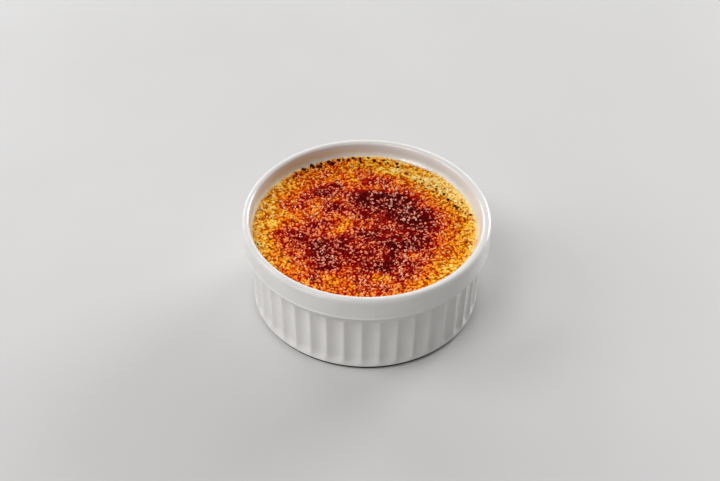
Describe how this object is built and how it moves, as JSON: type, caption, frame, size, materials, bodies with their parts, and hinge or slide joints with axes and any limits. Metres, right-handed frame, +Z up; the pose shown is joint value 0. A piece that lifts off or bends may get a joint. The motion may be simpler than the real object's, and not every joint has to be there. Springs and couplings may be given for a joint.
{
  "type": "creme brulee in a ramekin",
  "caption": "Creme brulee: set custard under a crust of burnt sugar, in the round white fluted porcelain ramekin that it is baked and served in.",
  "frame": {"origin": "centre of the ramekin's foot, on the surface it stands on", "axes": "+Z up through the middle of the dish, -Y towards the side that faces the viewer, +X to the viewer's right"},
  "size_m": [0.1, 0.1, 0.041],
  "materials": {
    "white_glaze": "gloss",
    "burnt_sugar": "gloss"
  },
  "bodies": {
    "root": {"ramekin": "white_glaze", "custard": "burnt_sugar"}
  },
  "joints": []
}
